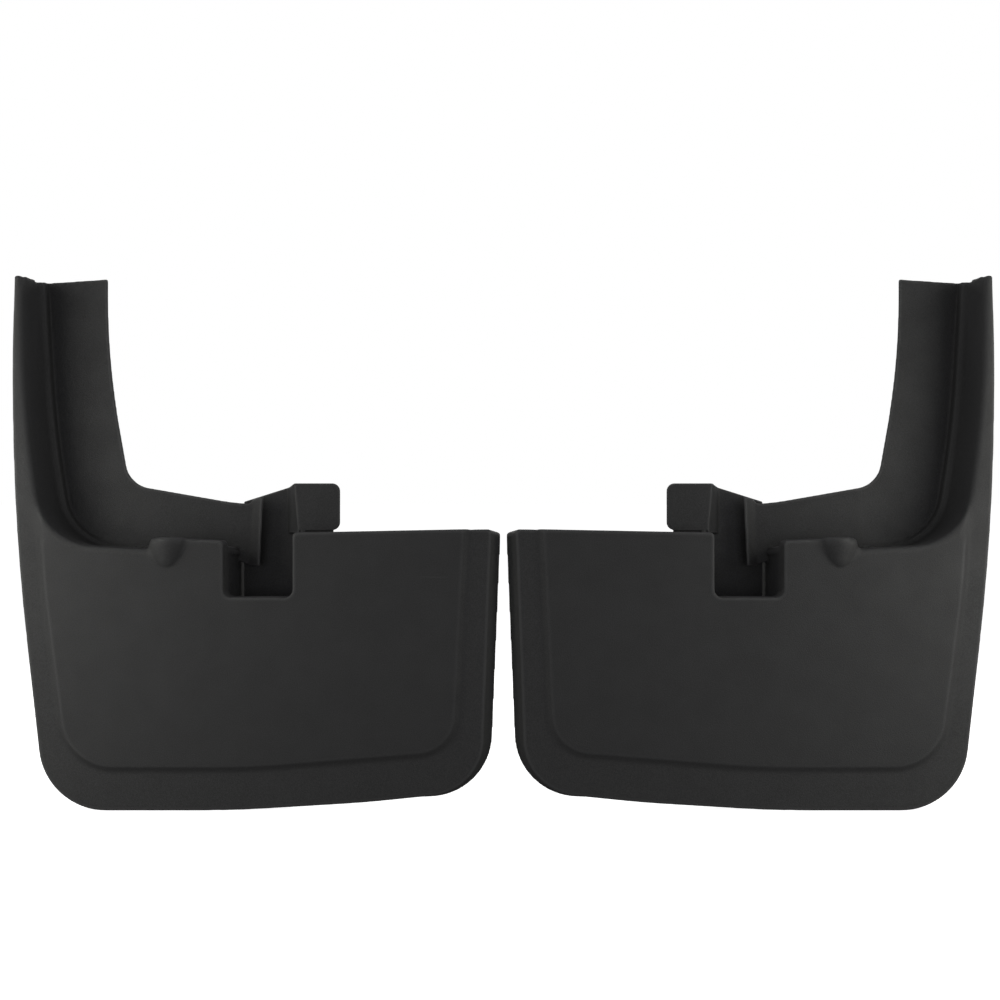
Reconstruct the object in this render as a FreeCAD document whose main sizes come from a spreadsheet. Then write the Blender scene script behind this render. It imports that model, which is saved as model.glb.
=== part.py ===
"""A left and right pair of moulded mud flaps for a pickup truck, in millimetres.

Row frame: +Z up from the lowest edge, +Y away from the smooth show face, X across the vehicle. The pair
is symmetric about X = 0. Each flap is one moulding, a bracket held to it by two screws with washers, a
foam strip and a foam pad. The left flap is drawn; the right flap is its mirror image.
While a piece is drawn, its depths run along +Y from the margin of the show face; its Placement then
moves it forward by origin_depth. "Out" is the distance from the middle plane, so left X is minus "out".
"""
import FreeCAD, Part
import math
import os
from FreeCAD import Placement, Rotation, Vector

DIMENSIONS = {
    # depth of the row's origin behind the margin of the show face, and the walls
    "origin_depth": 27.0,
    "wall": 3.0, "rim_depth": 15.0, "edge_round": 1.5, "crown_round": 1.5, "top_round": 3.0,
    "cavity_outer_top": 320.0, "cavity_inner_top": 255.0,
    # outer edge of the show face, from the arm tip down round the foot to the inner edge
    "arm_top": 399.7, "arm_tip_out": 364.6, "arm_tip_round": 2.5, "arm_top_round": 1.2,
    "outer_out": 366.3, "arm_lean_height": 345.0, "arm_lean_round": 900.0,
    "outer_bend_height": 222.0, "outer_bend_round": 1700.0,
    "foot_outer_out": 341.5, "foot_outer_round": 50.0,
    "foot_bend_out": 201.9, "foot_rise_out": 101.9, "foot_rise": 6.0, "foot_bend_round": 800.0,
    "foot_inner_out": 16.9, "foot_inner_height": 15.5, "foot_inner_round": 42.0,
    "inner_edge_out": 9.6, "inner_top": 210.3,
    # the rim flares towards the middle plane along the inner edge
    "rim_foot_out": 9.9, "rim_foot_height": 9.0, "rim_foot_round": 48.0,
    "rim_edge_out": 1.7, "rim_top": 207.5,
    # notch in the top edge
    "notch_inner_out": 157.0, "notch_outer_out": 208.6, "notch_floor": 159.2, "notch_round": 6.0,
    "notch_inner_top": 207.4, "notch_outer_top": 201.4,
    # top edge between the notch and the pocket corner
    "top_high": 204.0, "top_step_out": 263.9, "top_low": 195.0, "step_round": 4.0,
    # pocket that takes the body corner: front line and deep line of its web
    "arm_inner_out": 358.9, "arm_bend_height": 301.5, "arm_bend_round": 800.0,
    "corner_out": 342.9, "corner_height": 199.5, "corner_round": 46.0,
    "deep_top_out": 359.7, "deep_bend_out": 353.0, "deep_bend_height": 290.0,
    "deep_corner_out": 337.6, "deep_corner_height": 194.3, "deep_corner_round": 47.0,
    "floor_back": 192.8,
    "rib_front_out": 208.6, "rib_back_out": 204.5, "rib_bottom": 148.0, "rib_top": 198.2, "rib_depth": 66.0,
    # bead along the bottom of the pocket
    "bead_width": 3.9, "bead_depth": 40.0, "bead_end_out": 286.9,
    # flange and inner wall, a folded sheet at the bottom of the pocket
    "sheet_depth": 50.0, "crease_out": 276.0, "crease_depth": 41.0, "crease_round": 30.0,
    "flange_out": 308.0, "flange_top": 401.0, "flange_bend_height": 338.6, "flange_bend_round": 560.0,
    "flange_corner": 403.5, "flange_round": 1.0, "trim_reach": 70.0,
    "elbow_out": 291.0, "elbow_height": 243.7, "elbow_round": 22.0,
    "wall_bend_out": 207.0, "wall_bend_height": 229.0, "wall_bend_round": 150.0,
    "wall_end_out": 194.6, "wall_end_top": 228.8, "wall_end_bottom": 185.0, "wall_end_depth": 43.0,
    "wall_lap_out": 190.6, "channel_end_out": 186.0, "channel_slope_out": 187.6,
    "channel_rise": 4.5, "channel_lean": 2.6,
    "channel_top_low": 232.0, "channel_top_high": 235.0, "channel_bottom": 180.8,
    # raised field of the show face
    "field_rise": 3.0, "field_slope": 4.3, "field_inner_out": 26.0,
    "field_foot_inner_out": 34.1, "field_foot_inner_height": 41.7, "field_foot_inner_round": 33.0,
    "field_low_out": 191.9, "field_low_height": 29.2, "field_low_round": 700.0,
    "field_foot_outer_out": 327.3, "field_foot_outer_height": 29.4, "field_foot_outer_round": 42.0,
    "field_bend_out": 345.6, "field_bend_height": 170.3, "field_bend_round": 600.0,
    "field_outer_out": 348.0, "field_outer_height": 222.0,
    # bulge at the top edge, part of an ellipsoid
    "bulge_out": 250.6, "bulge_centre": 209.4, "bulge_centre_depth": 2.0,
    "bulge_half_width": 14.5, "bulge_half_depth": 14.0, "bulge_half_height": 29.5, "bulge_round": 3.0,
    # holes that fasten the flap to the vehicle
    "hole_radius": 3.5, "hole_depth": 26.0, "pad_radius": 8.0,
    "floor_hole_out": 226.9, "floor_hole_pitch": 65.0, "floor_pad_bottom": 184.0, "floor_pad_top": 195.0,
    "overrun": 1.0,
    # stiffening ribs behind the show face
    "rib_wall": 2.0, "grid_depth": 10.0, "grid_low": 78.0, "grid_high": 140.0,
    "grid_first": 62.0, "grid_pitch": 52.0, "grid_count": 6,
    "gusset_foot": 118.0, "gusset_top": 191.5, "gusset_rise": 5.5, "gusset_out": 262.0, "gusset_pitch": 54.0,
    "gusset_edge": 0.5,
    # bracket
    "bracket_wall": 3.0, "plate_depth": 52.0, "plate_outer_out": 203.2, "plate_inner_out": 151.9,
    "bend_out": 168.4, "facet_bottom": 206.0, "fold_low_out": 158.5, "fold_top_out": 161.8,
    "tab_end_out": 126.4, "tab_depth": 38.0, "tab_top": 244.6, "tab_bottom": 208.4, "tab_round": 6.0,
    "fold_round": 1.5, "plate_round": 10.0, "plate_top": 230.4, "plate_bend_top": 241.4,
    "shelf_height": 128.0, "foot_depth": 14.0, "foot_bottom": 100.0,
    "leg_out": 153.2, "leg_width": 3.2, "leg_bottom": 196.0, "leg_lap": 5.0,
    "skirt_drop": 3.4, "skirt_depth": 9.0,
    # screws that hold the bracket
    "screw_height": 112.0, "screw_out": 161.9, "screw_pitch": 28.0, "screw_radius": 2.4,
    "screw_length": 15.0, "screw_head_radius": 4.8, "screw_head_height": 3.2,
    "washer_radius": 6.0, "washer_height": 1.0, "recess_radius": 1.9, "recess_depth": 1.8,
    "boss_radius": 5.5, "screw_play": 0.3,
    # foam pads
    "foam_height": 2.5, "strip_inner_out": 233.9, "strip_outer_out": 284.9,
    "strip_start": 31.0, "strip_end": 40.0, "strip_blank_bottom": 192.3, "strip_top": 196.5,
    "pad_width": 22.0, "pad_height": 24.0,
}

EDGE_MATCH = 0.01  # an edge this near to a plane lies in it

doc = FreeCAD.newDocument("mud_flaps")
sheet = doc.addObject("Spreadsheet::Sheet", "dims")
for row, (alias, value) in enumerate(DIMENSIONS.items(), start=1):
    sheet.set(f"A{row}", alias)
    sheet.set(f"B{row}", str(value))
    sheet.setAlias(f"B{row}", alias)
doc.recompute()


class Sizes:
    """Reads a driving dimension from the sheet as an attribute."""

    def __getattr__(self, alias):
        return float(sheet.get(alias))


d = Sizes()


def bind(target, prop, expression):
    """Ties a property to cells of the sheet; @name in the expression is the cell with that alias."""
    target.setExpression(prop, expression.replace("@", "dims."))
    return target


# ---------------------------------------------------------------- outlines

def rounded_edges(corners):
    """Lines and arcs round a closed polygon of (x, y, radius) corners, as Part geometry."""
    stops = []
    count = len(corners)
    for i, (x, y, radius) in enumerate(corners):
        here = Vector(x, y, 0)
        back = Vector(*corners[i - 1][:2], 0) - here
        ahead = Vector(*corners[(i + 1) % count][:2], 0) - here
        if radius <= 0:
            stops.append((here, None, here))
            continue
        half = back.getAngle(ahead) / 2
        reach = radius / math.tan(half)
        back.normalize()
        ahead.normalize()
        centre = here + (back + ahead).normalize() * (radius / math.sin(half))
        middle = centre + (here - centre).normalize() * radius
        stops.append((here + back * reach, middle, here + ahead * reach))
    edges = []
    for i, (start, middle, end) in enumerate(stops):
        if middle is not None:
            edges.append(Part.Arc(start, middle, end))
        following = stops[(i + 1) % count][0]
        if end.distanceToPoint(following) > 1e-6:
            edges.append(Part.LineSegment(end, following))
    return edges


def offset_corners(corners, distance, closed=True):
    """Moves every side of a corner list sideways, to the left of its direction, and meets them again."""
    count = len(corners)
    moved = []
    for i, (x, y, radius) in enumerate(corners):
        here = Vector(x, y, 0)
        has_back = closed or i > 0
        has_ahead = closed or i < count - 1
        back = here - Vector(*corners[i - 1][:2], 0) if has_back else None
        ahead = Vector(*corners[(i + 1) % count][:2], 0) - here if has_ahead else None
        back = back or ahead
        ahead = ahead or back
        back.normalize()
        ahead.normalize()
        left_back = Vector(-back.y, back.x, 0)
        left_ahead = Vector(-ahead.y, ahead.x, 0)
        bisector = (left_back + left_ahead).normalize()
        point = here + bisector * (distance / bisector.dot(left_back))
        turns_left = back.cross(ahead).z > 0
        new_radius = radius - distance if turns_left else radius + distance
        moved.append((point.x, point.y, max(new_radius, 0) if radius else 0))
    return moved


def band_corners(path, thickness):
    """A closed strip between an open path and the same path moved to its left by the thickness."""
    return path + offset_corners(path, thickness, closed=False)[::-1]


def front_sketch(name, corners, depth="0"):
    """A sketch of (out, height, radius) corners of the left flap, facing the show side at a depth."""
    sketch = doc.addObject("Sketcher::SketchObject", name)
    sketch.Placement = Placement(Vector(), Rotation(Vector(1, 0, 0), 90))
    bind(sketch, "Placement.Base.y", depth)
    close_sketch(sketch, [(-out, height, radius) for out, height, radius in corners])
    return sketch


def close_sketch(sketch, corners):
    """Draws the rounded outline of the corners in a sketch."""
    sketch.addGeometry(rounded_edges(corners), False)


def extrusion(name, sketch, length, direction=(0, 1, 0)):
    solid = doc.addObject("Part::Extrusion", name)
    solid.Base = sketch
    solid.DirMode = "Custom"
    solid.Dir = Vector(*direction)
    solid.Solid = True
    return bind(solid, "LengthFwd", length)


def loft(name, *sketches):
    solid = doc.addObject("Part::Loft", name)
    solid.Sections = list(sketches)
    solid.Solid = True
    solid.Ruled = True
    return solid


def boolean(kind, name, base, *tools):
    """A Part::MultiFuse, Part::Cut or Part::Common of document objects."""
    if kind == "Fuse":
        result = doc.addObject("Part::MultiFuse", name)
        result.Shapes = [base, *tools]
        return result
    result = doc.addObject(f"Part::{kind}", name)
    result.Base = base
    result.Tool = tools[0]
    return result


def box(name, low, size):
    """A Part::Box whose low corner and sides are expressions in cells of the sheet."""
    solid = doc.addObject("Part::Box", name)
    for axis, value in zip("xyz", low):
        bind(solid, f"Placement.Base.{axis}", value)
    for prop, value in zip(("Length", "Width", "Height"), size):
        bind(solid, prop, value)
    return solid


def cylinder(name, start, radius, length, axis=(0, 0, 1)):
    solid = doc.addObject("Part::Cylinder", name)
    solid.Placement.Rotation = Rotation(Vector(0, 0, 1), Vector(*axis))
    for letter, value in zip("xyz", start):
        bind(solid, f"Placement.Base.{letter}", value)
    bind(solid, "Radius", radius)
    return bind(solid, "Height", length)


def lies_at(depth):
    """A test for edges that lie whole at a depth."""
    def test(edge):
        extent = edge.BoundBox
        return abs(extent.YMin - depth) < EDGE_MATCH and abs(extent.YMax - depth) < EDGE_MATCH
    return test


def round_edges(name, base, radius, chosen):
    """A Part::Fillet on the edges of base that the chosen function accepts."""
    doc.recompute()
    picked = [i for i, edge in enumerate(base.Shape.Edges, start=1) if chosen(edge)]
    result = doc.addObject("Part::Fillet", name)
    result.Base = base
    result.Edges = [(i, radius, radius) for i in picked]
    return result


# ---------------------------------------------------------------- moulding

def between(low, high, share):
    """The (out, height, radius) corner that lies a share of the way from one corner to another."""
    return tuple(a + (b - a) * share for a, b in zip(low, high))


def at_height(low, high, height):
    """The point of the line through two corners at a height, as a sharp corner."""
    share = (height - low[1]) / (high[1] - low[1])
    return (low[0] + (high[0] - low[0]) * share, height, 0)


def top_edge_corners():
    """Top edge of the panel, from the inner edge over the notch to the corner of the pocket."""
    return [
        (d.notch_inner_out, d.notch_inner_top, d.top_round),
        (d.notch_inner_out, d.notch_floor, d.notch_round),
        (d.notch_outer_out, d.notch_floor, d.notch_round),
        (d.notch_outer_out, d.notch_outer_top, d.top_round),
        (d.top_step_out - d.step_round / 2, d.top_high, d.step_round),
        (d.top_step_out, d.top_low, d.top_round),
    ]


def outer_edge_corners(flare):
    """Outer, bottom and inner edges of the show face; flare goes from 0 at the face to 1 at the rim."""
    foot = (d.foot_inner_out, d.foot_inner_height, d.foot_inner_round)
    rim_foot = (d.rim_foot_out, d.rim_foot_height, d.rim_foot_round)
    face_top = (d.inner_edge_out, d.inner_top, d.top_round)
    rim_top = (d.rim_edge_out, d.rim_top, d.top_round)
    return [
        (d.outer_out, d.outer_bend_height, d.outer_bend_round),
        (d.foot_outer_out, 0, d.foot_outer_round),
        (d.foot_bend_out, 0, d.foot_bend_round),
        (d.foot_rise_out, d.foot_rise, d.foot_bend_round),
        between(foot, rim_foot, flare),
        between(face_top, rim_top, flare),
    ]


def face_corners(flare=0):
    """The closed outline of the show face and, with a flare of 1, of its rim."""
    return [
        (d.arm_tip_out, d.arm_top, d.arm_tip_round),
        (d.outer_out, d.arm_lean_height, d.arm_lean_round),
        *outer_edge_corners(flare),
        *top_edge_corners(),
        (d.corner_out, d.corner_height, d.corner_round),
        (d.arm_inner_out, d.arm_bend_height, d.arm_bend_round),
        (d.arm_inner_out, d.arm_top, d.arm_top_round),
    ]


def cavity_corners(flare=0):
    """The hollow behind the show face: its outline moved in by the wall, without the arm."""
    corner = (d.corner_out, d.corner_height, d.corner_round)
    arm_bend = (d.arm_inner_out, d.arm_bend_height, d.arm_bend_round)
    outline = [
        (d.outer_out, d.cavity_outer_top, 0),
        *outer_edge_corners(flare),
        *top_edge_corners(),
        corner,
        at_height(corner, arm_bend, d.cavity_inner_top),
    ]
    return offset_corners(outline, -d.wall, closed=False)


def field_corners():
    """The raised field, run past the top of the panel so that the panel's own edge trims it."""
    foot_outer = (d.field_foot_outer_out, d.field_foot_outer_height, d.field_foot_outer_round)
    foot_inner = (d.field_foot_inner_out, d.field_foot_inner_height, d.field_foot_inner_round)
    bend = (d.field_bend_out, d.field_bend_height, d.field_bend_round)
    return [
        at_height(bend, (d.field_outer_out, d.field_outer_height, 0), d.cavity_inner_top),
        bend,
        foot_outer,
        (d.field_low_out, d.field_low_height, d.field_low_round),
        foot_inner,
        at_height(foot_inner, (d.field_inner_out, d.inner_top, 0), d.cavity_inner_top),
    ]


def pocket_line(depth):
    """Inner side of the web and floor of the pocket at a depth, from the top of the arm to the rib.

    It is the outline of the show face down to one wall, and is drafted from there back.
    """
    share = (depth - d.wall) / (d.bead_depth - d.wall)
    front_corner = (d.corner_out, d.corner_height, d.corner_round)
    deep_corner = (d.deep_corner_out, d.deep_corner_height, d.deep_corner_round)
    front_bend = (d.arm_inner_out, d.arm_bend_height, d.arm_bend_round)
    deep_bend = (d.deep_bend_out, d.deep_bend_height, d.arm_bend_round)
    return [
        between((d.arm_inner_out, d.arm_top, 0), (d.deep_top_out, d.flange_top, 0), share),
        between(front_bend, deep_bend, share),
        between(front_corner, deep_corner, share),
        between((d.top_step_out, d.top_low, 0), (d.top_step_out, d.floor_back, 0), share),
        between((d.rib_front_out, d.top_low, 0), (d.rib_back_out, d.floor_back, 0), share),
    ]


def make_tray():
    """Show face with its rim and raised field, hollow behind."""
    face = front_sketch("face_outline", face_corners())
    rim = front_sketch("rim_outline", face_corners(1), "@rim_depth")
    block = round_edges("tray_rounded", loft("tray_block", face, rim), d.edge_round, lies_at(0))
    hollow_front = front_sketch("hollow_outline", cavity_corners(), "@wall")
    hollow_back = front_sketch("hollow_rim_outline", cavity_corners(1), "@rim_depth")
    hollow = loft("tray_hollow", hollow_front, hollow_back)
    shell = boolean("Cut", "tray_shell", block, hollow)
    field = make_field(face)
    tray = boolean("Fuse", "tray_with_field", shell, field)
    pocket = offset_corners(field_corners(), -d.field_slope - d.wall)
    field_hollow = extrusion("field_hollow", front_sketch("field_hollow_outline", pocket), "@wall")
    inner = extrusion("hollow_limit", front_sketch("hollow_limit_outline", cavity_corners()), "@wall")
    relief = boolean("Common", "field_relief", field_hollow, inner)
    return boolean("Cut", "tray", tray, relief)


def make_field(face):
    """Raised field: a drafted pad on a foot, trimmed by the outline of the show face, and its bulge."""
    base = front_sketch("field_base", field_corners())
    crown = front_sketch("field_crown", offset_corners(field_corners(), -d.field_slope), "-@field_rise")
    foot = extrusion("field_foot", base, "@wall")
    pad = boolean("Fuse", "field_pad", loft("field_draft", base, crown), foot)
    trim = extrusion("field_trim", face, "@wall")
    bind(trim, "LengthRev", "@field_rise")
    block = boolean("Common", "field_block", pad, trim)
    return round_edges("raised_field", block, d.crown_round, lies_at(-d.field_rise))


def make_pocket():
    """Web and floor of the pocket: one drafted strip from the show face back to the folded sheet."""
    back = d.sheet_depth + d.wall
    front_band = front_sketch("pocket_front", band_corners(pocket_line(d.wall), d.wall), "@wall")
    back_band = front_sketch("pocket_back", band_corners(pocket_line(back), d.wall), "@sheet_depth + @wall")
    return loft("pocket", front_band, back_band)


def make_bead():
    """Ledge that runs down the web and round the corner, just in front of the folded sheet."""
    line = pocket_line(d.bead_depth)[:4]
    corner, step = line[2:]
    run = (corner[0] - d.bead_end_out) / (corner[0] - step[0])
    line[3] = (d.bead_end_out, corner[1] + (step[1] - corner[1]) * run, 0)
    lifted = offset_corners(line, d.wall / 2, closed=False)
    bead = band_corners(lifted, -d.bead_width - d.wall / 2)
    return extrusion("bead", front_sketch("bead_outline", bead, "@bead_depth"), "@sheet_depth - @bead_depth")


def sheet_outline():
    """Front outline of the arm flange and the inner wall."""
    buried = offset_corners(pocket_line(d.sheet_depth), d.wall / 2, closed=False)
    return [
        (buried[0][0], d.flange_top, 0),
        (d.flange_out, d.flange_corner, d.flange_round),
        (d.flange_out, d.flange_bend_height, d.flange_bend_round),
        (d.elbow_out, d.elbow_height, d.elbow_round),
        (d.wall_bend_out, d.wall_bend_height, d.wall_bend_round),
        (d.wall_lap_out, d.wall_end_top, 0),
        (d.wall_lap_out, d.channel_bottom, 0),
        (d.wall_end_out, d.channel_bottom, 0),
        (d.rib_front_out, d.wall_end_bottom, 0),
        (d.rib_front_out, buried[4][1], 0),
        buried[3],
        buried[2],
        buried[1],
    ]


def channel_outline():
    """Front outline of the joggled strip, which stands a little above and below the wall."""
    return [
        (d.wall_end_out + d.channel_lean, d.wall_end_top, 0),
        (d.wall_end_out, d.channel_top_low, 0),
        (d.channel_end_out, d.channel_top_high, 0),
        (d.channel_end_out + d.channel_lean, d.channel_bottom, 0),
        (d.wall_end_out + d.channel_lean, d.channel_bottom, 0),
    ]


def plan_sketch(name, corners, height="0"):
    """A sketch of (out, depth, radius) corners of the left flap, seen from above, at a height."""
    sketch = doc.addObject("Sketcher::SketchObject", name)
    bind(sketch, "Placement.Base.z", height)
    close_sketch(sketch, [(-out, depth, radius) for out, depth, radius in corners])
    return sketch


def make_sheet():
    """Arm flange and inner wall: a folded plan run upward, then cut to its front outline."""
    plan = [
        (d.outer_out, d.sheet_depth + d.overrun, 0),
        (d.crease_out, d.crease_depth, d.crease_round),
        (d.wall_lap_out, d.wall_end_depth, 0),
    ]
    folded = extrusion("sheet_folded", plan_sketch("sheet_plan", band_corners(plan, -d.wall)),
                       "@flange_corner + @wall", (0, 0, 1))
    trim = extrusion("sheet_trim", front_sketch("sheet_outline", sheet_outline()), "@trim_reach")
    return boolean("Common", "folded_sheet", folded, trim)


def make_channel():
    """Joggled strip at the end of the wall, which laps in front of the bracket."""
    height = d.channel_top_high - d.channel_bottom
    lean = d.channel_lean
    front = d.wall_end_depth - d.channel_rise
    plan = [
        (d.wall_end_out + lean + d.wall, d.wall_end_depth, 0),
        (d.wall_end_out + lean, d.wall_end_depth, d.fold_round),
        (d.channel_slope_out + lean, front, d.fold_round),
        (d.channel_end_out - d.wall, front, 0),
    ]
    section = plan_sketch("channel_plan", band_corners(plan, -d.wall), "@channel_bottom")
    run = extrusion("channel_run", section, "@channel_top_high - @channel_bottom", (lean / height, 0, 1))
    trim = extrusion("channel_trim", front_sketch("channel_outline", channel_outline()), "@trim_reach")
    return boolean("Common", "channel", run, trim)


def make_end_rib():
    """Wall that closes the inner end of the pocket, leaning as it goes back."""
    front = [
        (d.rib_front_out, d.rib_bottom, 0),
        (d.rib_front_out, d.rib_top, 0),
        (d.rib_front_out + d.wall, d.rib_top, 0),
        (d.rib_front_out + d.wall, d.rib_bottom, 0),
    ]
    lean = d.rib_front_out - d.rib_back_out
    back = [(out - lean, min(height, d.floor_back), 0) for out, height, _ in front]
    return loft("end_rib", front_sketch("end_rib_front", front, "@wall / 2"),
                front_sketch("end_rib_back", back, "@rib_depth"))


def make_bulge():
    """Bulge of the show face: the front lower part of an ellipsoid, with a rounded top edge."""
    egg = doc.addObject("Part::Ellipsoid", "bulge_egg")
    bind(egg, "Radius1", "@bulge_half_height")
    bind(egg, "Radius2", "@bulge_half_width")
    bind(egg, "Radius3", "@bulge_half_depth")
    bind(egg, "Placement.Base.x", "-@bulge_out")
    bind(egg, "Placement.Base.y", "@bulge_centre_depth")
    bind(egg, "Placement.Base.z", "@bulge_centre")
    front = box("bulge_front", ("-@bulge_out - @bulge_half_width", "-@bulge_half_depth", "@notch_floor"),
                ("2 * @bulge_half_width", "@bulge_half_depth + @wall", "@top_high - @notch_floor"))
    bulge = boolean("Common", "bulge_block", egg, front)
    return round_edges("bulge", bulge, d.bulge_round, is_bulge_top)


def is_bulge_top(edge):
    """True for the curved front edge of the bulge's flat top."""
    extent = edge.BoundBox
    flat = abs(extent.ZMin - d.top_high) < EDGE_MATCH and abs(extent.ZMax - d.top_high) < EDGE_MATCH
    return flat and extent.YMin < -d.wall


def make_grid():
    """Stiffening ribs behind the show face, kept inside the hollow."""
    bars = []
    for name in ("low", "high"):
        bars.append(box(f"grid_{name}_bar", ("-@outer_out", "0", f"@grid_{name}"),
                        ("@outer_out", "@grid_depth", "@rib_wall")))
    for i in range(int(d.grid_count)):
        bars.append(box(f"grid_bar_{i + 1}", (f"-@grid_first - {i} * @grid_pitch", "0", "0"),
                        ("@rib_wall", "@grid_depth", "@notch_floor")))
    bars = boolean("Fuse", "grid_bars", *bars)
    inside = offset_corners(cavity_corners(), d.wall / 2, closed=False)
    limit = extrusion("grid_limit", front_sketch("grid_outline", inside), "@grid_depth")
    return boolean("Common", "grid", bars, limit)


def make_gusset(number):
    """Triangular plate that carries the floor of the pocket from the back of the panel."""
    out = d.gusset_out + number * d.gusset_pitch
    top = d.gusset_top + number * d.gusset_rise
    deep = d.bead_depth + d.wall
    sketch = doc.addObject("Sketcher::SketchObject", f"gusset_{number}_outline")
    sketch.Placement = Placement(Vector(-out, 0, 0), Rotation(Vector(1, 1, 1), 120))
    close_sketch(sketch, [
        (d.wall / 2, d.gusset_foot, 0),
        (deep, top - d.wall / 2, 0),
        (deep, top - d.wall / 2 + d.gusset_edge, 0),
        (d.wall / 2, top, 0),
    ])
    return extrusion(f"gusset_{number}", sketch, "@rib_wall", (1, 0, 0))


def hole_outs():
    """Sheet expressions for the distance out of each floor hole."""
    return ("@floor_hole_out", "@floor_hole_out + @floor_hole_pitch")


def screw_outs():
    return ("@screw_out", "@screw_out + @screw_pitch")


def make_bosses():
    """Pads of the floor holes and bosses of the bracket screws."""
    pads = [cylinder(f"floor_pad_{i}", (f"-({out})", "@hole_depth", "@floor_pad_bottom"),
                     "@pad_radius", "@floor_pad_top - @floor_pad_bottom")
            for i, out in enumerate(hole_outs(), start=1)]
    bosses = [cylinder(f"screw_boss_{i}", (f"-({out})", "@foot_depth", "@screw_height"),
                       "@boss_radius", "@foot_depth + @overrun", (0, -1, 0))
              for i, out in enumerate(screw_outs(), start=1)]
    return pads + bosses


def make_guard_holes():
    """Holes through the floor pads and blind pilot holes in the screw bosses."""
    holes = [cylinder(f"floor_hole_{i}", (f"-({out})", "@hole_depth", "@floor_pad_bottom - @overrun"),
                      "@hole_radius", "@floor_pad_top - @floor_pad_bottom + 2 * @overrun")
             for i, out in enumerate(hole_outs(), start=1)]
    pilot_length = "@screw_length - @bracket_wall - @washer_height + @overrun"
    pilots = [cylinder(f"pilot_hole_{i}", (f"-({out})", "@foot_depth + @overrun", "@screw_height"),
                       "@screw_radius", pilot_length, (0, -1, 0))
              for i, out in enumerate(screw_outs(), start=1)]
    return boolean("Fuse", "guard_holes", *holes, *pilots)


def make_guard_body():
    """The moulding of the left flap before its holes are made."""
    gussets = [make_gusset(number) for number in range(2)]
    panel = boolean("Fuse", "panel", make_tray(), make_bulge(), make_grid())
    arm = boolean("Fuse", "arm", make_pocket(), make_bead(), make_sheet(), make_channel(), make_end_rib())
    return boolean("Fuse", "guard_body", panel, arm, *gussets, *make_bosses())


def make_guard(body):
    """The finished moulding of the left flap."""
    guard = boolean("Cut", "left_guard", body, make_guard_holes())
    guard.Refine = True
    return guard


# ---------------------------------------------------------------- bracket

def bracket_plan(fold_out):
    """Plan of the plate, the slanted facet and the root of the tab; the facet's fold leans with height."""
    return band_corners([
        (d.plate_outer_out, d.plate_depth, 0),
        (d.bend_out, d.plate_depth, d.fold_round),
        (fold_out, d.tab_depth, d.fold_round),
        (d.leg_out, d.tab_depth, 0),
    ], -d.bracket_wall)


def bracket_outline():
    """Front outline of the plate, the facet and the root of the tab."""
    return [
        (d.plate_outer_out, d.plate_top, 0),
        (d.bend_out, d.plate_bend_top, d.plate_round),
        (d.fold_top_out, d.tab_top, 0),
        (d.leg_out, d.tab_top, 0),
        (d.leg_out, d.tab_bottom, 0),
        (d.fold_low_out, d.tab_bottom, 0),
        (d.fold_low_out, d.facet_bottom, 0),
        (d.plate_outer_out, d.facet_bottom, 0),
    ]


def tab_outline():
    """Front outline of the flat tab with its two rounded corners."""
    return [
        (d.leg_out, d.tab_top, 0),
        (d.tab_end_out, d.tab_top, d.tab_round),
        (d.tab_end_out, d.tab_bottom, d.tab_round),
        (d.leg_out, d.tab_bottom, 0),
    ]


def make_bracket():
    """Plate behind the wall, facet and tab above, shelf and foot below that reach the screw bosses."""
    low = plan_sketch("bracket_plan_low", bracket_plan(d.fold_low_out), "@facet_bottom")
    high = plan_sketch("bracket_plan_high", bracket_plan(d.fold_top_out), "@tab_top")
    folded = loft("bracket_folded", low, high)
    trim = extrusion("bracket_trim", front_sketch("bracket_outline", bracket_outline()), "@trim_reach")
    upper = boolean("Common", "bracket_upper", folded, trim)
    tab = extrusion("bracket_tab", front_sketch("tab_outline", tab_outline(), "@tab_depth"), "@bracket_wall")
    width = "@plate_outer_out - @plate_inner_out"
    plate = box("bracket_plate", ("-@plate_outer_out", "@plate_depth", "@shelf_height"),
                (width, "@bracket_wall", "@facet_bottom - @shelf_height"))
    shelf = box("bracket_shelf", ("-@plate_outer_out", "@foot_depth", "@shelf_height - @bracket_wall"),
                (width, "@plate_depth - @foot_depth + @bracket_wall", "@bracket_wall"))
    foot = box("bracket_foot", ("-@plate_outer_out", "@foot_depth", "@foot_bottom"),
               (width, "@bracket_wall", "@shelf_height - @foot_bottom"))
    leg = box("bracket_leg", ("-@leg_out - @leg_width", "@tab_depth", "@leg_bottom"),
              ("@leg_width", "@plate_depth - @tab_depth + @bracket_wall",
               "@tab_bottom - @leg_bottom + @leg_lap"))
    skirt = box("bracket_skirt",
                ("-@fold_low_out", "@tab_depth + @bracket_wall / 2", "@tab_bottom - @skirt_drop"),
                ("@fold_low_out - @tab_end_out - @tab_round", "@skirt_depth", "2 * @skirt_drop"))
    body = boolean("Fuse", "bracket_body", upper, tab, plate, shelf, foot, leg, skirt)
    hole_start = "@foot_depth + @bracket_wall + @overrun"
    holes = boolean("Fuse", "bracket_holes", *[
        cylinder(f"bracket_hole_{i}", (f"-({out})", hole_start, "@screw_height"),
                 "@screw_radius + @screw_play", "@bracket_wall + 2 * @overrun", (0, -1, 0))
        for i, out in enumerate(screw_outs(), start=1)])
    bracket = boolean("Cut", "left_bracket", body, holes)
    bracket.Refine = True
    return bracket


# ---------------------------------------------------------------- screws and foam

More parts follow.
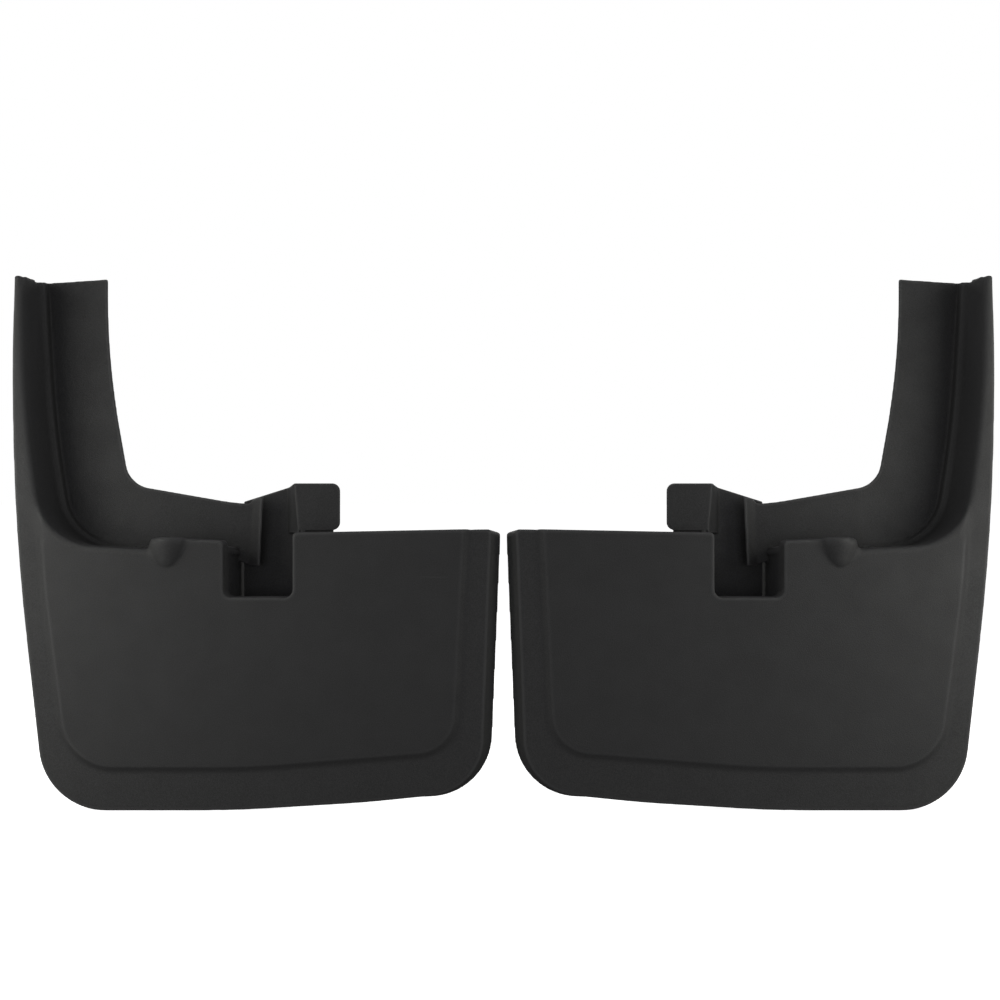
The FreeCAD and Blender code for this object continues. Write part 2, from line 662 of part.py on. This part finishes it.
def make_screws():
    """The two screws: shank and hexagonal head with a shallow round recess."""
    screws = []
    for i, out in enumerate(screw_outs(), start=1):
        head_start = "@foot_depth + @bracket_wall + @washer_height"
        shank = cylinder(f"screw_{i}_shank", (f"-({out})", head_start, "@screw_height"),
                         "@screw_radius", "@screw_length", (0, -1, 0))
        head = doc.addObject("Part::Prism", f"screw_{i}_head")
        head.Polygon = 6
        head.Placement.Rotation = Rotation(Vector(0, 0, 1), Vector(0, 1, 0))
        bind(head, "Circumradius", "@screw_head_radius")
        bind(head, "Height", "@screw_head_height")
        bind(head, "Placement.Base.x", f"-({out})")
        bind(head, "Placement.Base.y", head_start)
        bind(head, "Placement.Base.z", "@screw_height")
        recess_start = f"{head_start} + @screw_head_height - @recess_depth"
        recess = cylinder(f"screw_{i}_recess", (f"-({out})", recess_start, "@screw_height"),
                          "@recess_radius", "@recess_depth + @overrun", (0, 1, 0))
        whole = boolean("Fuse", f"screw_{i}_body", shank, head)
        screws.append(boolean("Cut", f"screw_{i}", whole, recess))
    return compound("left_bracket_screws", screws)


def make_washers():
    """Loose washers under the screw heads."""
    washers = []
    for i, out in enumerate(screw_outs(), start=1):
        start = (f"-({out})", "@foot_depth + @bracket_wall", "@screw_height")
        disc = cylinder(f"washer_{i}_disc", start, "@washer_radius", "@washer_height", (0, 1, 0))
        hole = cylinder(f"washer_{i}_hole", start, "@screw_radius + @screw_play", "@washer_height", (0, 1, 0))
        washers.append(boolean("Cut", f"washer_{i}", disc, hole))
    return compound("left_bracket_washers", washers)


def compound(name, members):
    group = doc.addObject("Part::Compound", name)
    group.Links = members
    return group


def make_foam_strip(guard_body):
    """Foam tape on the floor of the pocket, its underside following the floor."""
    blank = box("foam_strip_blank", ("-@strip_outer_out", "@strip_start", "@strip_blank_bottom"),
                ("@strip_outer_out - @strip_inner_out", "@strip_end - @strip_start",
                 "@strip_top - @strip_blank_bottom"))
    return boolean("Cut", "left_floor_foam", blank, guard_body)


def make_foam_pad():
    """Foam pad stuck to the back of the tab."""
    block = box("tab_foam_block",
                ("-(@fold_low_out + @tab_end_out + @pad_width) / 2", "@tab_depth + @bracket_wall",
                 "(@tab_top + @tab_bottom + @skirt_drop - @pad_height) / 2"),
                ("@pad_width", "@foam_height", "@pad_height"))
    return compound("left_tab_foam", [block])


# ---------------------------------------------------------------- both flaps

def mirrored(part):
    """The right-hand twin of a left-hand piece."""
    twin = doc.addObject("Part::Mirroring", part.Name.replace("left", "right"))
    twin.Source = part
    twin.Normal = Vector(1, 0, 0)
    return twin


def failed(part):
    return "Invalid" in part.State or "Error" in part.State


doc.recompute()
guard_body = make_guard_body()
left_pieces = [make_guard(guard_body), make_bracket(), make_screws(), make_washers(),
               make_foam_strip(guard_body), make_foam_pad()]
pieces = left_pieces + [mirrored(piece) for piece in left_pieces]
for piece in left_pieces:
    bind(piece, "Placement.Base.y", "-@origin_depth")
for piece in pieces:
    piece.Label = piece.Name
doc.recompute()

broken = [part.Name for part in doc.Objects if failed(part)]
if broken:
    raise RuntimeError(f"failed objects: {broken}")
for piece in pieces:
    if piece.Shape.isNull() or not piece.Shape.isValid() or not piece.Shape.Solids:
        raise RuntimeError(f"{piece.Label} has no valid solid")

os.makedirs("parts", exist_ok=True)
for piece in pieces:
    piece.Shape.exportStep(f"parts/{piece.Label}.step")
    print(f"{piece.Label}: {len(piece.Shape.Solids)} solid(s), {piece.Shape.Volume / 1000:.1f} cm3")
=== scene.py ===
"""Looks of a pair of moulded mud flaps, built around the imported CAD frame. Metres, in the row frame."""
import math

import bpy
import numpy as np
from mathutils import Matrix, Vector


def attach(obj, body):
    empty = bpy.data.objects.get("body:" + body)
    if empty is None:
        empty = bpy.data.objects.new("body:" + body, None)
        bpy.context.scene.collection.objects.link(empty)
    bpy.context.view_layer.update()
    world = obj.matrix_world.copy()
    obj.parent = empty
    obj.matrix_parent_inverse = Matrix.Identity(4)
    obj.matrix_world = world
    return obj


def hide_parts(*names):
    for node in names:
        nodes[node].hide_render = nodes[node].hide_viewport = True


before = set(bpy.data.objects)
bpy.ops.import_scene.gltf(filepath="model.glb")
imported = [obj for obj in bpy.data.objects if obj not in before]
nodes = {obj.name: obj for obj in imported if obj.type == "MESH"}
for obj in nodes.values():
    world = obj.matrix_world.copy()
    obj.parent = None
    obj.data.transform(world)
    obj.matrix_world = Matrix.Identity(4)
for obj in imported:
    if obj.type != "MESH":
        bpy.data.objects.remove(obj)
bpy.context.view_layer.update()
scene = bpy.context.scene


# ---------------------------------------------------------------- materials

EDGE_HIGHLIGHT = 0.50  # painted highlight: how much of the pale colour is painted on convex edges
SCRATCH_WEAR = 0.35  # and in the scratches

class Nodes:
    """Short ways to add and link shader nodes in one material."""

    def __init__(self, name):
        self.material = bpy.data.materials.new(name)
        self.material.use_nodes = True
        self.tree = self.material.node_tree
        self.shader = self.tree.nodes["Principled BSDF"]
        coords = self.tree.nodes.new("ShaderNodeTexCoord")
        self.position = coords.outputs["Object"]

    def add(self, kind, inputs=None, **settings):
        node = self.tree.nodes.new("ShaderNode" + kind)
        for key, value in settings.items():
            setattr(node, key, value)
        for key, value in (inputs or {}).items():
            self.feed(node.inputs[key], value)
        return node

    def feed(self, socket, value):
        if isinstance(value, bpy.types.NodeSocket):
            self.tree.links.new(value, socket)
        else:
            socket.default_value = value

    def stretched(self, scale, turn=(0, 0, 0)):
        mapping = self.add("Mapping", {
            "Vector": self.position, "Scale": scale, "Rotation": turn})
        return mapping.outputs["Vector"]

    def noise(self, scale, detail=3, rough=0.55, vector=None):
        node = self.add("TexNoise", {
            "Vector": vector or self.position, "Scale": scale, "Detail": detail,
            "Roughness": rough})
        return node.outputs["Fac"]

    def cells(self, scale):
        node = self.add("TexVoronoi", {"Vector": self.position, "Scale": scale})
        return node.outputs["Distance"]

    def remap(self, value, low, high, out_low=0.0, out_high=1.0):
        node = self.add("MapRange", {
            "Value": value, "From Min": low, "From Max": high, "To Min": out_low, "To Max": out_high})
        return node.outputs["Result"]

    def maths(self, operation, a, b=0.0):
        node = self.add("Math", operation=operation)
        self.feed(node.inputs[0], a)
        self.feed(node.inputs[1], b)
        return node.outputs[0]

    def blend(self, share, low, high):
        node = self.add("Mix", {"Factor": share}, data_type="RGBA")
        self.feed(node.inputs[6], low)
        self.feed(node.inputs[7], high)
        return node.outputs[2]

    def bump(self, height, strength, distance):
        inputs = {"Height": height, "Strength": strength, "Distance": distance}
        return self.add("Bump", inputs).outputs["Normal"]

    def set(self, **inputs):
        for key, value in inputs.items():
            self.feed(self.shader.inputs[key.replace("_", " ")], value)


def grey(value):
    return (value, value, value, 1)


def plastic(name, base, rough, grain=1.0):
    """Black moulded plastic: fine grain, cloudy sheen, scratches, a painted highlight on convex edges and
    painted shade along concave edges.
    """
    n = Nodes(name)
    cloud = n.noise(7, detail=4)
    blotch = n.noise(45, detail=3)
    fine = n.noise(1500, detail=2, rough=0.7)
    pebble = n.cells(1100)
    tone = n.maths("ADD", n.remap(cloud, 0.3, 0.7, -0.10, 0.10),
                   n.remap(fine, 0.25, 0.75, -0.46, 0.46))
    colour = n.blend(n.remap(tone, -0.3, 0.3), grey(base * 0.76), grey(base * 1.26))
    scratch_space = n.stretched((9, 9, 260), (0.0, 0.5, 0.0))
    scratch = n.noise(1.0, detail=2, rough=0.5, vector=scratch_space)
    patch = n.remap(n.noise(11, detail=2), 0.60, 0.70)
    scratch = n.maths("MULTIPLY", n.remap(scratch, 0.70, 0.74), patch)
    curve = n.add("NewGeometry").outputs["Pointiness"]
    # painted highlight: convex edges, found by pointiness, take the pale colour
    edge = n.remap(curve, 0.503, 0.530)
    # painted shade: concave edges, found by pointiness, are darkened towards 0.3 of the base colour
    crease_shade = n.remap(curve, 0.46, 0.495, 0.45, 0.0)
    colour = n.blend(crease_shade, colour, grey(base * 0.3))
    # the pale colour joins the painted edge highlight with the real wear in the scratches
    highlight_and_wear = n.maths("MAXIMUM", n.maths("MULTIPLY", edge, EDGE_HIGHLIGHT),
                   n.maths("MULTIPLY", scratch, SCRATCH_WEAR))
    n.set(Base_Color=n.blend(highlight_and_wear, colour, grey(base * 2.6)))
    sheen = n.maths("ADD", n.remap(blotch, 0.3, 0.7, rough - 0.05, rough + 0.05),
                    n.remap(cloud, 0.3, 0.7, -0.04, 0.04))
    n.set(Roughness=n.maths("SUBTRACT", sheen, n.maths("MULTIPLY", highlight_and_wear, 0.10)))
    height = n.maths("ADD", n.remap(pebble, 0, 0.8), n.maths("MULTIPLY", fine, 0.6))
    n.set(Normal=n.bump(height, 0.55 * grain, 0.00012))
    n.set(Specular_IOR_Level=0.42)
    return n.material


def metal(name, base, rough):
    """Zinc-plated steel: turned lines, small stains."""
    n = Nodes(name)
    stain = n.noise(160, detail=4)
    lines = n.noise(1.0, detail=2, vector=n.stretched((300, 4000, 4000)))
    n.set(Base_Color=n.blend(n.remap(stain, 0.35, 0.7), grey(base), grey(base * 0.72)))
    n.set(Roughness=n.maths("ADD", n.remap(stain, 0.3, 0.7, rough - 0.06, rough + 0.08),
                            n.remap(lines, 0.3, 0.7, -0.05, 0.05)))
    n.set(Normal=n.bump(lines, 0.25, 0.00004), Metallic=1.0)
    return n.material


def foam(name, base):
    """Dark closed-cell foam with small pores, whose pits are painted darker as painted shade."""
    n = Nodes(name)
    pores = n.cells(620)
    shade = n.noise(60, detail=3)
    # painted shade: the pore pits, which the bump sinks, are painted darker
    n.set(Base_Color=n.blend(n.remap(pores, 0.1, 0.7), grey(base * 0.55), grey(base * 1.2)))
    n.set(Roughness=n.remap(shade, 0.3, 0.7, 0.86, 0.97))
    n.set(Normal=n.bump(n.remap(pores, 0.0, 0.6), 0.8, 0.0005))
    return n.material


guard_black = plastic("guard_black", 0.036, 0.70)
bracket_black = plastic("bracket_black", 0.034, 0.66, grain=0.7)
black_zinc = metal("black_zinc", 0.10, 0.38)
bright_zinc = metal("bright_zinc", 0.45, 0.32)
foam_grey = foam("foam_grey", 0.045)


# ---------------------------------------------------------------- skins of the moulded and foam pieces

GUARD_VOXEL = 0.0009
BRACKET_VOXEL = 0.0007
FOAM_VOXEL = 0.00045


class Skin:
    """A fine even mesh over a CAD node, whose edges are then softened by relaxing its points."""

    def __init__(self, node, voxel):
        work = bpy.data.objects.new("work", node.data.copy())
        scene.collection.objects.link(work)
        remesh = work.modifiers.new("voxels", "REMESH")
        remesh.mode = "VOXEL"
        remesh.voxel_size = voxel
        bpy.context.view_layer.update()
        shown = work.evaluated_get(bpy.context.evaluated_depsgraph_get())
        self.mesh = bpy.data.meshes.new_from_object(shown)
        bpy.data.objects.remove(work)
        count = len(self.mesh.vertices)
        points = np.empty(count * 3, np.float32)
        self.mesh.vertices.foreach_get("co", points)
        self.points = points.reshape(-1, 3).astype(float)
        edges = np.empty(len(self.mesh.edges) * 2, np.int32)
        self.mesh.edges.foreach_get("vertices", edges)
        self.starts, self.ends = edges.reshape(-1, 2).T
        self.degree = np.bincount(edges, minlength=count).astype(float)

    def average(self, values):
        """Mean of each point's neighbours."""
        count = len(values)
        forward = np.bincount(self.starts, values[self.ends], count)
        backward = np.bincount(self.ends, values[self.starts], count)
        return (forward + backward) / self.degree

    def relax(self, rounds, share=None, step=0.5):
        """Moves each point towards its neighbours by a step, or by each point's share of it."""
        moving = step if share is None else step * share
        for _ in range(rounds):
            for axis in range(3):
                column = self.points[:, axis]
                self.points[:, axis] = column + moving * (self.average(column) - column)

    def near(self, line, reach, deepest, shallowest=-1.0):
        """1 along a line of (x, z) points, between two depths, falling to 0 at the reach."""
        share = np.zeros(len(self.points))
        low, high = line.min(0) - reach, line.max(0) + reach
        x, y, z = self.points.T
        inside = (y < deepest) & (y > shallowest)
        inside &= (x > low[0]) & (x < high[0]) & (z > low[1]) & (z < high[1])
        picked = np.flatnonzero(inside)
        for part in np.array_split(picked, max(1, len(picked) // 20000)):
            place = self.points[part][:, [0, 2]]
            nearest = np.full(len(part), reach)
            for start, end in zip(line[:-1], line[1:]):
                along = end - start
                t = np.clip((place - start) @ along / (along @ along), 0, 1)
                nearest = np.minimum(nearest, np.linalg.norm(place - start - t[:, None] * along, axis=1))
            rise = np.clip(2 * (1 - nearest / reach), 0, 1)
            share[part] = rise * rise * (3 - 2 * rise)
        return share

    def finished(self, name, mirror=False):
        """The skin as a mesh, or its mirror image about the middle plane."""
        mesh = self.mesh.copy()
        mesh.name = name
        points = self.points * [-1 if mirror else 1, 1, 1]
        mesh.vertices.foreach_set("co", points.astype(np.float32).ravel())
        if mirror:
            mesh.flip_normals()
        mesh.shade_smooth()
        mesh.update()
        return mesh


def rounded_line(corners, steps=10):
    """(x, z) points along straight runs; each corner, (x, z, radius), is a parabola close to its arc."""
    points = []
    for i, (x, z, radius) in enumerate(corners):
        here = np.array((x, z))
        if radius == 0 or i in (0, len(corners) - 1):
            points.append(here)
            continue
        back = np.array(corners[i - 1][:2]) - here
        ahead = np.array(corners[i + 1][:2]) - here
        back, ahead = back / np.linalg.norm(back), ahead / np.linalg.norm(ahead)
        half = math.acos(np.clip(back @ ahead, -1, 1)) / 2
        reach = radius / math.tan(half)
        for t in np.linspace(0, 1, steps + 1):
            leave, arrive = here + back * reach, here + ahead * reach
            points.append((1 - t) ** 2 * leave + 2 * t * (1 - t) * here + t * t * arrive)
    return np.array(points)


# Lines of the left flap that the moulding softens most, as (x, z, radius) in metres.
STEP_LINE = rounded_line([(-0.3480, 0.225, 0), (-0.3447, 0.1703, 0.6), (-0.3263, 0.0306, 0.042),
                          (-0.1919, 0.0304, 0.7), (-0.0351, 0.043, 0.033), (-0.0269, 0.2103, 0)])
WEB_LINE = rounded_line([(-0.3589, 0.405, 0), (-0.3589, 0.3015, 0.8),
                         (-0.3429, 0.1995, 0.046), (-0.262, 0.195, 0)])
BEAD_LINE = rounded_line([(-0.3578, 0.405, 0), (-0.3511, 0.290, 0.8),
                          (-0.3357, 0.1962, 0.045), (-0.2869, 0.1959, 0)])
BULGE_LINE = rounded_line([(-0.2665, 0.2, 0), (-0.2506, 0.176, 0.03), (-0.235, 0.2, 0)])
# The flap's outer edge: height above the ground and distance from the pair's middle plane.
OUTER_EDGE = np.array([(0.10, 0.3520), (0.20, 0.3615), (0.2317, 0.3638),
                       (0.306, 0.3662), (0.345, 0.3660), (0.40, 0.3645)])
FACE_DEPTH = -0.027  # y of the panel's margin
FACE_BACK = FACE_DEPTH + 0.010  # the step and the bulge are softened in front of this depth
WEB_BACK = FACE_DEPTH + 0.012  # and the web's front line in front of this one
BEAD_FRONT, BEAD_BACK = 0.004, 0.018  # the bead lies between these depths
EDGE_KEPT, EDGE_FADE = 0.001, 0.003  # the outer edge stays put, then softening fades in


def guard_skin():
    skin = Skin(nodes["left_guard"], GUARD_VOXEL)
    skin.relax(2)
    skin.relax(4, skin.near(STEP_LINE, 0.009, FACE_BACK))
    x, _, z = skin.points.T
    inset = np.interp(z, *OUTER_EDGE.T) + x
    off_edge = np.clip((inset - EDGE_KEPT) / EDGE_FADE, 0, 1)
    skin.relax(50, skin.near(WEB_LINE, 0.013, WEB_BACK) * off_edge)
    skin.relax(14, skin.near(BULGE_LINE, 0.008, FACE_BACK))
    skin.relax(30, skin.near(BEAD_LINE, 0.007, BEAD_BACK, BEAD_FRONT))
    return skin


def bracket_skin():
    skin = Skin(nodes["left_bracket"], BRACKET_VOXEL)
    skin.relax(3)
    return skin


def foam_skin(part):
    """Soft foam: rounded edges, and faces that rise and fall a little."""
    skin = Skin(nodes[f"left_{part}"], FOAM_VOXEL)
    skin.relax(14)
    centre = skin.points.mean(0)
    x, y, z = (skin.points - centre).T
    sag = 1 - 0.05 * (0.5 + 0.5 * np.sin(x * 420 + 1.3) * np.cos(z * 510 + 0.4))
    if part == "tab_foam":
        y *= sag
    else:
        z *= sag
    skin.points = np.stack((x, y, z), axis=1) + centre
    return skin


FINISH = {"guard": guard_black, "bracket": bracket_black, "bracket_screws": black_zinc,
          "bracket_washers": bright_zinc, "floor_foam": foam_grey, "tab_foam": foam_grey}
SLOTS = {"guard": "guard_plastic", "bracket": "bracket_plastic",
         "floor_foam": "foam", "tab_foam": "foam"}


def skinned(part, skin):
    """Both flaps' smooth skins of one part, which stand for its CAD nodes."""
    for side in ("left", "right"):
        name = f"{side}_{part}_skin"
        mesh = skin.finished(name, mirror=side == "right")
        mesh.materials.clear()
        mesh.materials.append(FINISH[part])
        piece = bpy.data.objects.new(name, mesh)
        scene.collection.objects.link(piece)
        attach(piece, f"{side}_flap")
        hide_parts(f"{side}_{part}")


skinned("guard", guard_skin())
skinned("bracket", bracket_skin())
for part in ("floor_foam", "tab_foam"):
    skinned(part, foam_skin(part))

for side in ("left", "right"):
    for part, material in FINISH.items():
        if part in SLOTS:
            continue
        piece = nodes[f"{side}_{part}"]
        piece.data.materials.clear()
        piece.data.materials.append(material)
        bevel = piece.modifiers.new("soft_edges", "BEVEL")
        bevel.width = 0.0004
        bevel.segments = 2
        bevel.limit_method = "ANGLE"
        bevel.angle_limit = math.radians(35)


# ---------------------------------------------------------------- studio

def plain_floor(half, height):
    """A wide white floor that lights nothing and doesn't show in reflections."""
    mesh = bpy.data.meshes.new("studio_floor")
    corners = [(-half, -half, height), (half, -half, height), (half, half, height), (-half, half, height)]
    mesh.from_pydata(corners, [], [(0, 1, 2, 3)])
    floor = bpy.data.objects.new("studio_floor", mesh)
    scene.collection.objects.link(floor)
    n = Nodes("floor_white")
    n.set(Base_Color=grey(0.9), Roughness=0.9, Emission_Color=grey(1.0), Emission_Strength=0.95)
    mesh.materials.append(n.material)
    floor.visible_diffuse = False
    floor.visible_glossy = False


def soft_light(name, place, target, size, power, colour):
    data = bpy.data.lights.new(name, "AREA")
    data.shape = "RECTANGLE"
    data.size, data.size_y = size
    data.energy = power
    data.color = colour
    lamp = bpy.data.objects.new(name, data)
    lamp.location = place
    lamp.rotation_euler = (Vector(target) - Vector(place)).to_track_quat("-Z", "Y").to_euler()
    lamp.visible_camera = False
    scene.collection.objects.link(lamp)


def studio_world(front, back):
    """A dim room with one strength in front and one behind; the camera sees white all round."""
    world = bpy.data.worlds.new("studio")
    world.use_nodes = True
    tree = world.node_tree
    tree.nodes.clear()

    def background(strength):
        node = tree.nodes.new("ShaderNodeBackground")
        node.inputs["Color"].default_value = grey(1.0)
        node.inputs["Strength"].default_value = strength
        return node.outputs[0]

    coords = tree.nodes.new("ShaderNodeTexCoord")
    parts = tree.nodes.new("ShaderNodeSeparateXYZ")
    tree.links.new(coords.outputs["Generated"], parts.inputs[0])
    rise = tree.nodes.new("ShaderNodeMapRange")
    rise.interpolation_type = "SMOOTHSTEP"
    rise.inputs["From Min"].default_value = -0.1
    rise.inputs["From Max"].default_value = 0.45
    tree.links.new(parts.outputs["Y"], rise.inputs["Value"])
    room = tree.nodes.new("ShaderNodeMixShader")
    tree.links.new(rise.outputs["Result"], room.inputs["Fac"])
    tree.links.new(background(front), room.inputs[1])
    tree.links.new(background(back), room.inputs[2])
    seen = tree.nodes.new("ShaderNodeMixShader")
    path = tree.nodes.new("ShaderNodeLightPath")
    tree.links.new(path.outputs["Is Camera Ray"], seen.inputs["Fac"])
    tree.links.new(room.outputs[0], seen.inputs[1])
    tree.links.new(background(1.0), seen.inputs[2])
    out = tree.nodes.new("ShaderNodeOutputWorld")
    tree.links.new(seen.outputs[0], out.inputs["Surface"])
    scene.world = world


FLOOR_HALF = 60
WORLD_FRONT, WORLD_BACK = 0.165, 0.05
WARM = (1.0, 1.0, 0.95)
COOL = (0.98, 0.98, 1.04)
plain_floor(FLOOR_HALF, 0)
studio_world(WORLD_FRONT, WORLD_BACK)
# The box and front lamps are matched to the photo; the others only make the other views readable.
for side, sign in (("left", -1), ("right", 1)):
    soft_light(f"{side}_box", (sign * 0.52, -0.22, 0.24), (sign * 0.33, 0, 0.2),
               (0.20, 0.45), 0.72, WARM)
    soft_light(f"{side}_front", (sign * 0.42, -0.80, 0.20), (sign * 0.22, 0, 0.18),
               (0.50, 0.25), 0.60, COOL)
    soft_light(f"{side}_back", (sign * 0.55, 0.75, 0.55), (sign * 0.20, 0, 0.2),
               (0.50, 0.40), 1.5, WARM)
    soft_light(f"{side}_end", (sign * 1.20, 0.12, 0.45), (sign * 0.36, 0, 0.2),
               (0.40, 0.60), 1.1, COOL)
soft_light("top", (0, 0.30, 1.30), (0, 0, 0.2), (1.00, 0.30), 1.6, COOL)
scene.view_settings.view_transform = "Standard"
scene.view_settings.look = "None"

VIEW_ANGLE = 40.86
CAMERA_PLACE = (-0.0026, -1.027, 0.2317)
camera_data = bpy.data.cameras.new("camera")
camera_data.sensor_width = 36
camera_data.angle = math.radians(VIEW_ANGLE)
camera = bpy.data.objects.new("camera", camera_data)
camera.location = CAMERA_PLACE
camera.rotation_euler = (math.radians(90), 0, 0)
scene.collection.objects.link(camera)
scene.camera = camera
